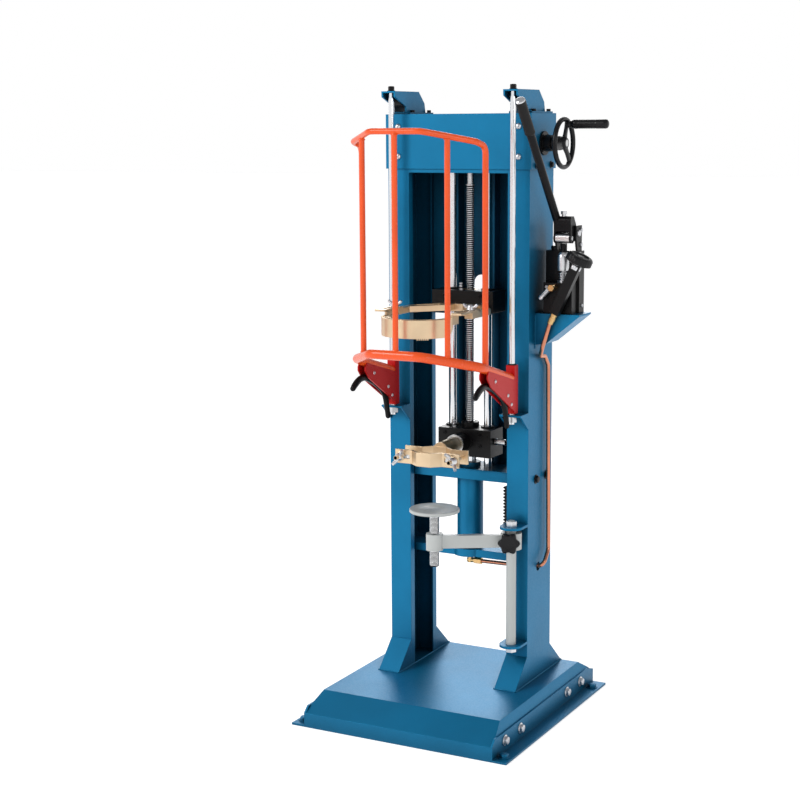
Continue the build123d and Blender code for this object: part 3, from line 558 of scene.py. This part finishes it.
def wings(look):
    """The clamp's wing nuts and the jaw's wing screws."""
    for side, name in ((-1, "left"), (1, "right")):
        low, high = span(f"{name}_clamp_nut")
        centre = (low + high) / 2
        nut = Shape()
        lean = radians(WING_LEAN * side)
        wing_nut(nut, (centre.x, high.y, centre.z), -Y, (cos(lean), 0, -sin(lean)), 24)
        nut.piece(f"{name}_wing_nut", f"{name}_clamp_nut", look["zinc_bolts"], "zinc_bolts",
                  [f"{name}_clamp_nut"])
        low, high = span(f"{name}_wing_screw")
        centre = (low + high) / 2
        screw = Shape()
        face = high.z - 15
        wing_nut(screw, (centre.x, centre.y, face), Z, X, 19)
        screw.turned((centre.x, centre.y, low.z), Z, [(0, 3.2), (1, 4), (face - low.z, 4)], 24)
        screw.piece(f"{name}_jaw_screw", f"{name}_wing_screw", look["zinc_bolts"], "zinc_bolts",
                    [f"{name}_wing_screw"])


# ---- jaws and clamp ----
def jaw_teeth(look):
    """A dashed row of grip teeth on the flange, a few under the band's front, and a painted shade ring
    that shows dark between the teeth.
    """
    low = span("upper_jaw")[0]
    centre_y = low.y + JAW_RADIUS
    shape, gap_shade = Shape(), Shape()

    def tooth(turn, half, inner, outer, base, top):
        corners = []
        for z in (base, top):
            for radius, off in ((outer, -half), (outer, half), (inner, half), (inner, -half)):
                spot = turn + off
                corners.append(Vector((radius * cos(spot), centre_y + radius * sin(spot), z)))
        shape.strip([corners[:4], corners[4:]])

    count = 72
    for step in range(2, count - 2):
        tooth(pi + pi * (step + 0.5) / count, pi / count * 0.3, 79, 83,
              JAW_FLANGE - 0.2, JAW_FLANGE + 1.3)
    for step in range(6):
        tooth(radians(-66 + 3.2 * step), radians(0.9), 84, 87.8, low.z - 3.2, low.z + 0.5)
    shape.piece("jaw_teeth", "upper_jaw", look["yellow_zinc"], "yellow_zinc")
    # painted shade: a thin dark ring just above the flange, seen as dark gaps between the teeth
    section = ((83.4, 0.1), (83.4, 0.35), (78.6, 0.35), (78.6, 0.1))
    rings = []
    for step in range(1, 60):
        turn = pi + pi * step / 60
        rings.append([Vector((r * cos(turn), centre_y + r * sin(turn), JAW_FLANGE + z))
                      for r, z in section])
    gap_shade.strip(rings)
    gap_shade.piece("jaw_gap_shade", "upper_jaw", look["thread_root"], "yellow_zinc")


def clamp_details(look):
    """Keys in the front plate's slots, threads on the bolts' ends, and ribs inside the plate."""
    keys, bolts, ribs = Shape(), Shape(), Shape()
    bolt_end = span("clamp_rear")[0].y
    key = [(-6, -5), (6, -5), (6, 5), (-6, 5)]
    bolt_thread = [(0, 4.2), (0.8, 4.9)]
    bolt_thread += [(1.2 + 0.75 * i, 4.98 if i % 2 else 4.6) for i in range(20)]
    for side in (-1, 1):
        keys.plate(key, (side * 53, -232.4, CLAMP_Z), -X, Z, 3.4, 0.8)
        bolts.turned((side * CLAMP_BOLT_X, bolt_end, CLAMP_Z), Y, bolt_thread, 20)
    keys.piece("clamp_slot_keys", "clamp_front", look["bright_steel"], "bright_steel")
    bolts.piece("clamp_bolt_ends", "lower_slider", look["zinc_bolts"], "zinc_bolts")
    for step in range(9):
        x = -16 + 4 * step
        ribs.tube([(x, -249.3, CLAMP_Z - 18), (x, -249.3, CLAMP_Z + 18)], 1.2, 8)
    ribs.piece("clamp_ribs", "clamp_front", look["yellow_zinc"], "yellow_zinc")


def slider_details(look):
    """Each slider's cap screws, grease nipple and rod wipers, and the clamp stem's collar."""
    for body, collar, spot in (("upper_slider", 9, (-12, -28)), ("lower_slider", 12, (-30, -30))):
        top = span(f"{body}_block")[1].z - collar
        screws = Shape()
        for x in (-SLIDER_ROD_X, SLIDER_ROD_X):
            for z in (top - 12, top - 40):
                screws.socket_screw((x, -45, z), -Y, 9, 2.6)
        screws.piece(f"{body}_screws", body, look["lever_steel"], "lever_steel")
        nipple = Shape()
        nipple.turned((*spot, top), Z, [(0, hex_ring(10, 5.6)), (4, hex_ring(10, 5.6)), (4.6, 3), (6, 3),
                                        (7, 4.6), (9.5, 5), (11, 3.6), (12, 2.2), (13, 3.6), (15, 4.6),
                                        (17, 4.2), (18.6, 2.4)], 36)
        nipple.piece(f"{body}_nipple", body, look["zinc_bolts"], "zinc_bolts")
        wipers = Shape()
        for x in (-SLIDER_ROD_X, SLIDER_ROD_X):
            wipers.turned((x, 0, top), Z, [(0, 17), (2.6, 17), (3.4, 16), (3.4, 10.6), (0.5, 10.6)], 48)
        wipers.piece(f"{body}_wipers", body, look["black_rubber"], "black_rubber")
    collar = Shape()
    collar.turned((0, STEM_FACE, STEM_Z), Y, [(0, 20.5), (0.3, 23.2), (1.4, 23.6), (4, 23.6),
                                              (5, 23.2)], 64)
    collar.turned((78, -20, 660), X, [(0, 8.6), (4, 8.6), (5, 7.3), (27, 7.3), (29, 6)], 40)
    collar.piece("stem_collar", "lower_slider", look["bright_steel"], "bright_steel")
    sleeve = Shape()
    sleeve.turned((0, -163.6, STEM_Z), Y, [(0, 18.05), (0.4, 18.3), (73.6, 18.3), (74, 18.05)], 64)
    sleeve.piece("stem_sleeve", "lower_slider", look["stem_zinc"], "yellow_zinc")


# ---- guard ----
def guard_details(look):
    """Rivets on both faces of the carriages, welds of the upright bars, and the sleeves' rims."""
    rivets = Shape()
    for side in (-1, 1):
        for face in (-11, 11):
            out = X if face > 0 else -X
            x = side * ROD_X + face
            for y, z in ((-220, 843), (-130, 776), (-150, 800)):
                rivets.rivet((x, y, z), out, 9, 2.6)
    rivets.piece("carriage_rivets", "guard", look["zinc_bolts"], "zinc_bolts")
    welds = Shape()
    for x, y, low, high in ((0, -387, 914, 1413), (108, -341, 900.5, 1401.8),
                            (-108, -341, 900.5, 1401.8)):
        for z in (low + 9, high - 9):
            welds.turned((x, y, z), Z, [(0, 7.4), (1.2, 8.2), (2.6, 7.9), (4, 6.6)], 24)
    welds.piece("guard_welds", "guard", look["orange_paint"], "orange_paint")
    rims = Shape()
    for side in (-1, 1):
        rims.turned((side * ROD_X, ROD_Y, 866), Z, [(0, 10.4), (2, 10.4), (3, 9.6), (3, 7.4),
                                                    (1, 7.4)], 40)
    rims.piece("sleeve_rims", "guard", look["black_rubber"], "black_rubber")


def smooth(points, cuts):
    """Catmull-Rom points through a given route."""
    result = []
    for i in range(len(points) - 1):
        a, b = points[max(i - 1, 0)], points[i]
        c, d = points[i + 1], points[min(i + 2, len(points) - 1)]
        for step in range(cuts):
            t = step / cuts
            result.append(tuple(
                0.5 * (2 * q + (r - p) * t + (2 * p - 5 * q + 4 * r - s) * t * t
                       + (3 * q - p - 3 * r + s) * t ** 3)
                for p, q, r, s in zip(a, b, c, d)))
    result.append(tuple(points[-1]))
    return result


def brake_levers(look):
    """Rounded black levers: a finger grip in front, a deep middle and a narrow latch tip."""
    # places along the lever seen from the side, as (y, z, half depth)
    route = [(-309, 813, 3), (-305, 815, 6.5), (-297, 821, 8.5), (-284, 828.5, 9),
             (-270, 833.5, 8.5), (-255, 835, 8), (-240, 833, 8.5), (-215, 826, 10), (-190, 815, 11.5),
             (-165, 800.5, 12), (-151, 787, 11.5), (-143, 768, 9.5), (-139, 750, 8),
             (-135, 733, 7), (-133, 722, 5.5), (-132, 718, 2.5)]
    path = smooth(route, 4)
    for name in ("left", "right"):
        centre = middle(f"{name}_brake_lever").x
        rings = []
        for i, (y, z, half) in enumerate(path):
            before, after = path[max(i - 1, 0)], path[min(i + 1, len(path) - 1)]
            along = Vector((0, after[0] - before[0], after[1] - before[1])).normalized()
            across = X.cross(along)
            wide = min(6.4, half * 1.1)
            rings.append([Vector((centre, y, z)) + X * wide * cos(TAU * k / 16)
                          + across * half * sin(TAU * k / 16) for k in range(16)])
        shape = Shape()
        shape.strip(rings)
        shape.piece(f"{name}_lever_arm", f"{name}_brake_lever", look["lever_steel"], "lever_steel",
                    [f"{name}_brake_lever"], sharp=60)


# ---- handwheel ----
def wheel_rim(wheel, centre_z):
    """A round rim with faint finger scallops on its inside."""
    rings = []
    for step in range(72):
        turn = TAU * step / 72
        points = []
        for part in range(16):
            a = TAU * part / 16
            scallop = 0.35 * cos(12 * turn) * max(0.0, -cos(a))
            r = WHEEL_RADIUS + (WHEEL_BAR + scallop) * cos(a)
            points.append(Vector((WHEEL_X + WHEEL_BAR * sin(a), r * cos(turn), centre_z + r * sin(turn))))
        rings.append(points)
    wheel.strip(rings, closed=True)


def wheel_spoke(wheel, centre_z, turn):
    """A flat oval spoke, wider at the hub and at the rim."""
    arm = Vector((0, cos(turn), sin(turn)))
    side = Vector((0, -sin(turn), cos(turn)))
    rings = []
    for radius, half in ((12, 11.5), (26, 8.6), (40, 8.6), (52, 11.0)):
        centre = Vector((WHEEL_X, 0, centre_z)) + arm * radius
        rings.append([centre + side * half * cos(TAU * k / 12) + X * 4.0 * sin(TAU * k / 12)
                      for k in range(12)])
    wheel.strip(rings)


def handwheel(look):
    """The three-spoked wheel with its hub, and the pin that its turning handle sits on."""
    low, high = span("handwheel")
    centre_z = (low.z + high.z) / 2
    wheel = Shape()
    wheel_rim(wheel, centre_z)
    for step in range(3):
        wheel_spoke(wheel, centre_z, radians(70 + 120 * step))
    wheel.turned((216, 0, centre_z), X, [(0, 15.5), (1, 16.8), (18, 16.8), (26, 15), (33, 13.5),
                                         (35, 11.5), (35, 8.4), (34, 8), (34, 2)], 48)
    handle = middle("wheel_handle")
    spot = Vector((0, handle.y, handle.z))
    wheel.turned(spot + X * (WHEEL_X + 3), X, [(0, 9), (5, 8.4), (9, 7.2), (9.4, 5.2)], 32)
    wheel.piece("handwheel_casting", "handwheel", look["black_plastic"], "black_plastic",
                ["handwheel"])
    pin = Shape()
    pin.turned(spot + X * (WHEEL_X + 8), X, [(0, 5), (90, 5), (92, 4)], 24)
    pin.piece("handle_pin", "handwheel", look["zinc_bolts"], "zinc_bolts")


def wheel_handle(look):
    """The turning handle, with shallow grooves along its grip."""
    low, high = span("wheel_handle")
    centre = (low + high) / 2
    length = high.x - low.x
    levels = [(0, 5.2), (0, 8.6), (1.2, 9.8), (5, 10.4)]
    for step in range(25):
        t = step / 24
        levels.append((7 + t * (length - 18), 10.8 - (0.5 if step % 2 and 2 < step < 18 else 0.0)))
    levels += [(length - 7, 10.9), (length - 3, 10), (length - 0.6, 7), (length, 2)]
    grip = Shape()
    grip.turned((low.x, centre.y, centre.z), X, levels, 40)
    grip.piece("handle_grip", "wheel_handle", look["black_plastic"], "black_plastic",
               ["wheel_handle"], sharp=50)


# ---- support knob ----
def lobes(size, depth):
    """Radius at each angle of a knob with six rounded lobes."""
    def radius(turn):
        return size + depth * cos(6 * turn)
    return radius


def star_knob(look):
    """The lobed clamping knob and its stud."""
    knob = Shape()
    levels = [(0, lobes(16, 0.6)), (0.8, lobes(23, 2.4)), (3, lobes(24, 2.8)), (11, lobes(24, 2.8)),
              (13.8, lobes(22.4, 2.4)), (15, lobes(18, 1)), (14.2, 15), (13.4, 12), (13.4, 3)]
    knob.turned(KNOB_HUB + KNOB_OUT * 28, KNOB_OUT, levels, 96)
    knob.turned(KNOB_HUB + KNOB_OUT * 16, KNOB_OUT, [(0, 4.4), (0.8, 5), (13, 5)], 24)
    knob.piece("star_grip", "star_knob", look["black_plastic"], "black_plastic", ["star_knob"],
               sharp=50)


# ---- pump ----
def fluted(turn):
    """Radius at each angle of the release knob's fluted rim."""
    return 31.8 - 0.8 * (1 if int(turn / TAU * 64) % 2 else 0)


def release_knob(look):
    """The dished knob with its stem, and the collar it turns in."""
    knob, nut = Shape(), Shape()
    knob.turned(VALVE_FACE, VALVE_AXIS, [
        (0.2, 9), (0.6, 14), (3, 25), (6, fluted), (18, fluted), (22, 29.5), (23.8, 26), (23.8, 21),
        (21, 19), (20.4, 10), (22, 8), (22, 2)], 128)
    knob.turned(VALVE_FACE - VALVE_AXIS * 29, VALVE_AXIS, [(0, 3.6), (0.6, 4), (29.2, 4)], 24)
    knob.piece("release_grip", "release_knob", look["black_plastic"], "black_plastic",
               ["release_knob"])
    nut.turned(VALVE_FACE - VALVE_AXIS * 12, VALVE_AXIS, [
        (0, hex_ring(23, 12.6)), (0.6, hex_ring(23, 13.2)), (9, hex_ring(23, 13.2)), (10, 11.5),
        (11, 10), (11, 5)], 48)
    nut.piece("valve_collar", "frame", look["zinc_bolts"], "zinc_bolts")


def valve_fittings(look):
    """The brass pipe nut below the valve, and the bleed screw with its spring beside it."""
    nut, bleed, coil = Shape(), Shape(), Shape()
    flats = hex_ring(14.4, 8.1)
    nut.turned(VALVE_FOOT - VALVE_AXIS * 25, VALVE_AXIS, [
        (0, 5.2), (1, 7), (5, 7.3), (6, flats), (15, flats), (16, 6.6), (20, 6.6), (20, flats),
        (25, flats)], 48)
    nut.piece("pipe_nut", "frame", look["brass"], "brass")
    line = (BLEED_END - BLEED_START).normalized()
    side = line.cross(Y).normalized()
    bleed.turned(BLEED_START, line, [(4, 3), (4, 4.7), (30, 4.7), (30, 5.6), (31, 6.4), (36, 6.6),
                                     (40, 5.2), (42, 2)], 32)
    coil.tube([BLEED_START + line * (7 + 22 * k / 120)
               + (Y * cos(TAU * k / 20) + side * sin(TAU * k / 20)) * 5.6
               for k in range(121)], 1.0, 8)
    bleed.piece("bleed_tip", "frame", look["zinc_bolts"], "zinc_bolts")
    coil.piece("bleed_spring", "frame", look["zinc_bolts"], "zinc_bolts", sharp=80)


def pump_grip(look):
    """The ribbed rubber grip and the bright cap on the lever's end."""
    line = (LEVER_TOP - LEVER_FOOT).normalized()
    start = LEVER_TOP - line * GRIP_LENGTH
    levels = [(0, 8.6), (0.5, 11), (3, 12.3), (6, 12.3)]
    for step in range(31):
        levels.append((8 + step * 2.45, 12.3 if step % 2 else 11.5))
    levels += [(84, 12.4), (90, 12.4)]
    grip = Shape()
    grip.turned(start, line, levels, 40)
    grip.piece("grip_sleeve", "pump_lever", look["black_rubber"], "black_rubber", ["pump_grip"],
               sharp=50)
    cap = Shape()
    cap.turned(start, line, [(90, 12.1), (93, 11.6), (95, 9.6), (GRIP_LENGTH, 6), (GRIP_LENGTH, 1)], 40)
    cap.piece("grip_cap", "pump_lever", look["zinc_bolts"], "zinc_bolts")


def pump_details(look):
    """The pump's screws and covers, the lever's clamp bolt and pin ends, and the push roller."""
    silver, black = Shape(), Shape()
    body_top = span("pump_body")[1].z
    for y, z in ((26, 1144), (26, 1178), (12, 1172)):
        silver.bolt((277, y, z), X, 10 if y > 20 else 14, 4, washer=False)
    for z in (1000, 1110):
        silver.socket_screw((282, 24, z), X, 8, 3)
    for x in (214, 268):
        silver.socket_screw((x, -26, 1046), -Y, 8, 4)
    silver.turned((PUMP_X, PUMP_Y, 1056), Z, [(0, hex_ring(27, 15)), (5, hex_ring(27, 15)), (6, 11.8),
                                        (6, 6.6)], 48)
    silver.piece("pump_screws", "frame", look["zinc_bolts"], "zinc_bolts")
    black.plate([(-38, -58), (38, -58), (38, 58), (-38, 58)], (239, 38, 1050), (-1, 0, 0), (0, 0, 1), 3)
    black.turned((216, 20, body_top - 60), Z, [(0, 10), (2, 11), (9, 11), (11, 9), (11, 3)], 32)
    black.piece("tank_covers", "frame", look["black_paint"], "black_paint")
    lever = Shape()
    lever.turned((PUMP_X, PUMP_Y, 1213), Z, [(-2, 5), (4, 5), (4, hex_ring(13, 7.2)),
                                             (11, hex_ring(13, 7.2)), (12, 5.8)], 48)
    for face, out in ((271, X), (227, -X)):
        lever.rivet((face, PUMP_Y, ROLLER_Z), out, 11, 0.9)
    lever.piece("lever_clamp_bolt", "pump_lever", look["zinc_bolts"], "zinc_bolts")
    roller = Shape()
    roller.turned((231.2, PUMP_Y, ROLLER_Z), X, [(0, 11), (0.8, 12.02), (34.8, 12.02), (35.6, 11)], 48)
    roller.piece("push_roller", "pump_lever", look["bright_steel"], "bright_steel")


def plunger(look):
    """The bright bottle-shaped plunger with its dark neck under the roller."""
    centre = middle("pump_plunger")
    low, high = span("pump_plunger")
    head, rise = PLUNGER_HEAD, PLUNGER_HEAD - low.z
    shape = Shape()
    shape.turned((centre.x, centre.y, low.z), Z, [
        (0, 5.4), (0.6, 6), (rise, 6), (rise, 14), (rise + 1.2, 15), (rise + 30, 15),
        (rise + 37, 13.6), (rise + 41.5, 11.4), (rise + 44, 8)], 48)
    shape.piece("plunger_bottle", "pump_plunger", look["zinc_bolts"], "zinc_bolts",
                ["pump_plunger"])
    neck = Shape()
    neck.turned((centre.x, centre.y, head + 43.5), Z, [(0, 8), (high.z - head - 44.3, 8),
                                                       (high.z - head - 43.5, 7.2)], 40)
    neck.piece("plunger_neck", "pump_plunger", look["lever_steel"], "lever_steel")


# ---- welds ----
def welds(look):
    """Beads where columns, gussets and brackets meet the base, the columns and each other."""
    beads = Shape()
    seam = BASE_TOP + 0.6
    front = -COLUMN_HALF - 0.4
    for side in (-1, 1):
        for x in (COLUMN_IN, COLUMN_OUT):
            out = -1 if x == COLUMN_IN else 1
            edge = side * (x + out * 0.4)
            beads.bead((edge, -COLUMN_HALF, seam), (edge, COLUMN_HALF, seam))
            beads.bead((edge, -140, seam), (edge, -COLUMN_HALF, seam))
            beads.bead((edge, COLUMN_HALF, seam), (edge, 144, seam))
        for y in (-140, 144):
            beads.bead((side * COLUMN_IN, y, seam), (side * COLUMN_OUT, y, seam), 2.0)
        beads.bead((side * COLUMN_IN, front, 741.4), (side * COLUMN_OUT, front, 741.4), 1.9)
        beads.bead((side * COLUMN_IN, -62.4, 1456.4), (side * COLUMN_OUT, -62.4, 1456.4), 1.6)
    for z in (176, 469):
        beads.bead((COLUMN_IN, front, z - 0.6), (COLUMN_OUT, front, z - 0.6), 1.9)
    beads.bead((187.9, -35.4, 898), (187.9, -35.4, 980), 1.8)
    beads.bead((COLUMN_IN - 0.6, -48, 590.5), (-COLUMN_IN + 0.6, -45.2, 590.5), 1.2)
    beads.piece("weld_beads", "frame", look["blue_paint"], "blue_paint", sharp=70)


# ---- assembly ----
def paint_nodes(look):
    """Gives each CAD node the finish of its slot, before Blender pieces replace some of them."""
    slots = {part["node"]: part["material_slot"] for part in frame["record"]["subparts"]}
    for node, item in NODES.items():
        item.data.materials.clear()
        item.data.materials.append(look[slots[node]])


add_camera()
LOOK = make_materials()
add_studio()
paint_nodes(LOOK)
for build in (lead_screw, support_screw, plunger_spring, frame_bolts, wings, jaw_teeth,
              clamp_details, slider_details, guard_details, brake_levers, handwheel,
              wheel_handle, star_knob, release_knob, valve_fittings, pump_grip, pump_details,
              plunger, welds):
    build(LOOK)
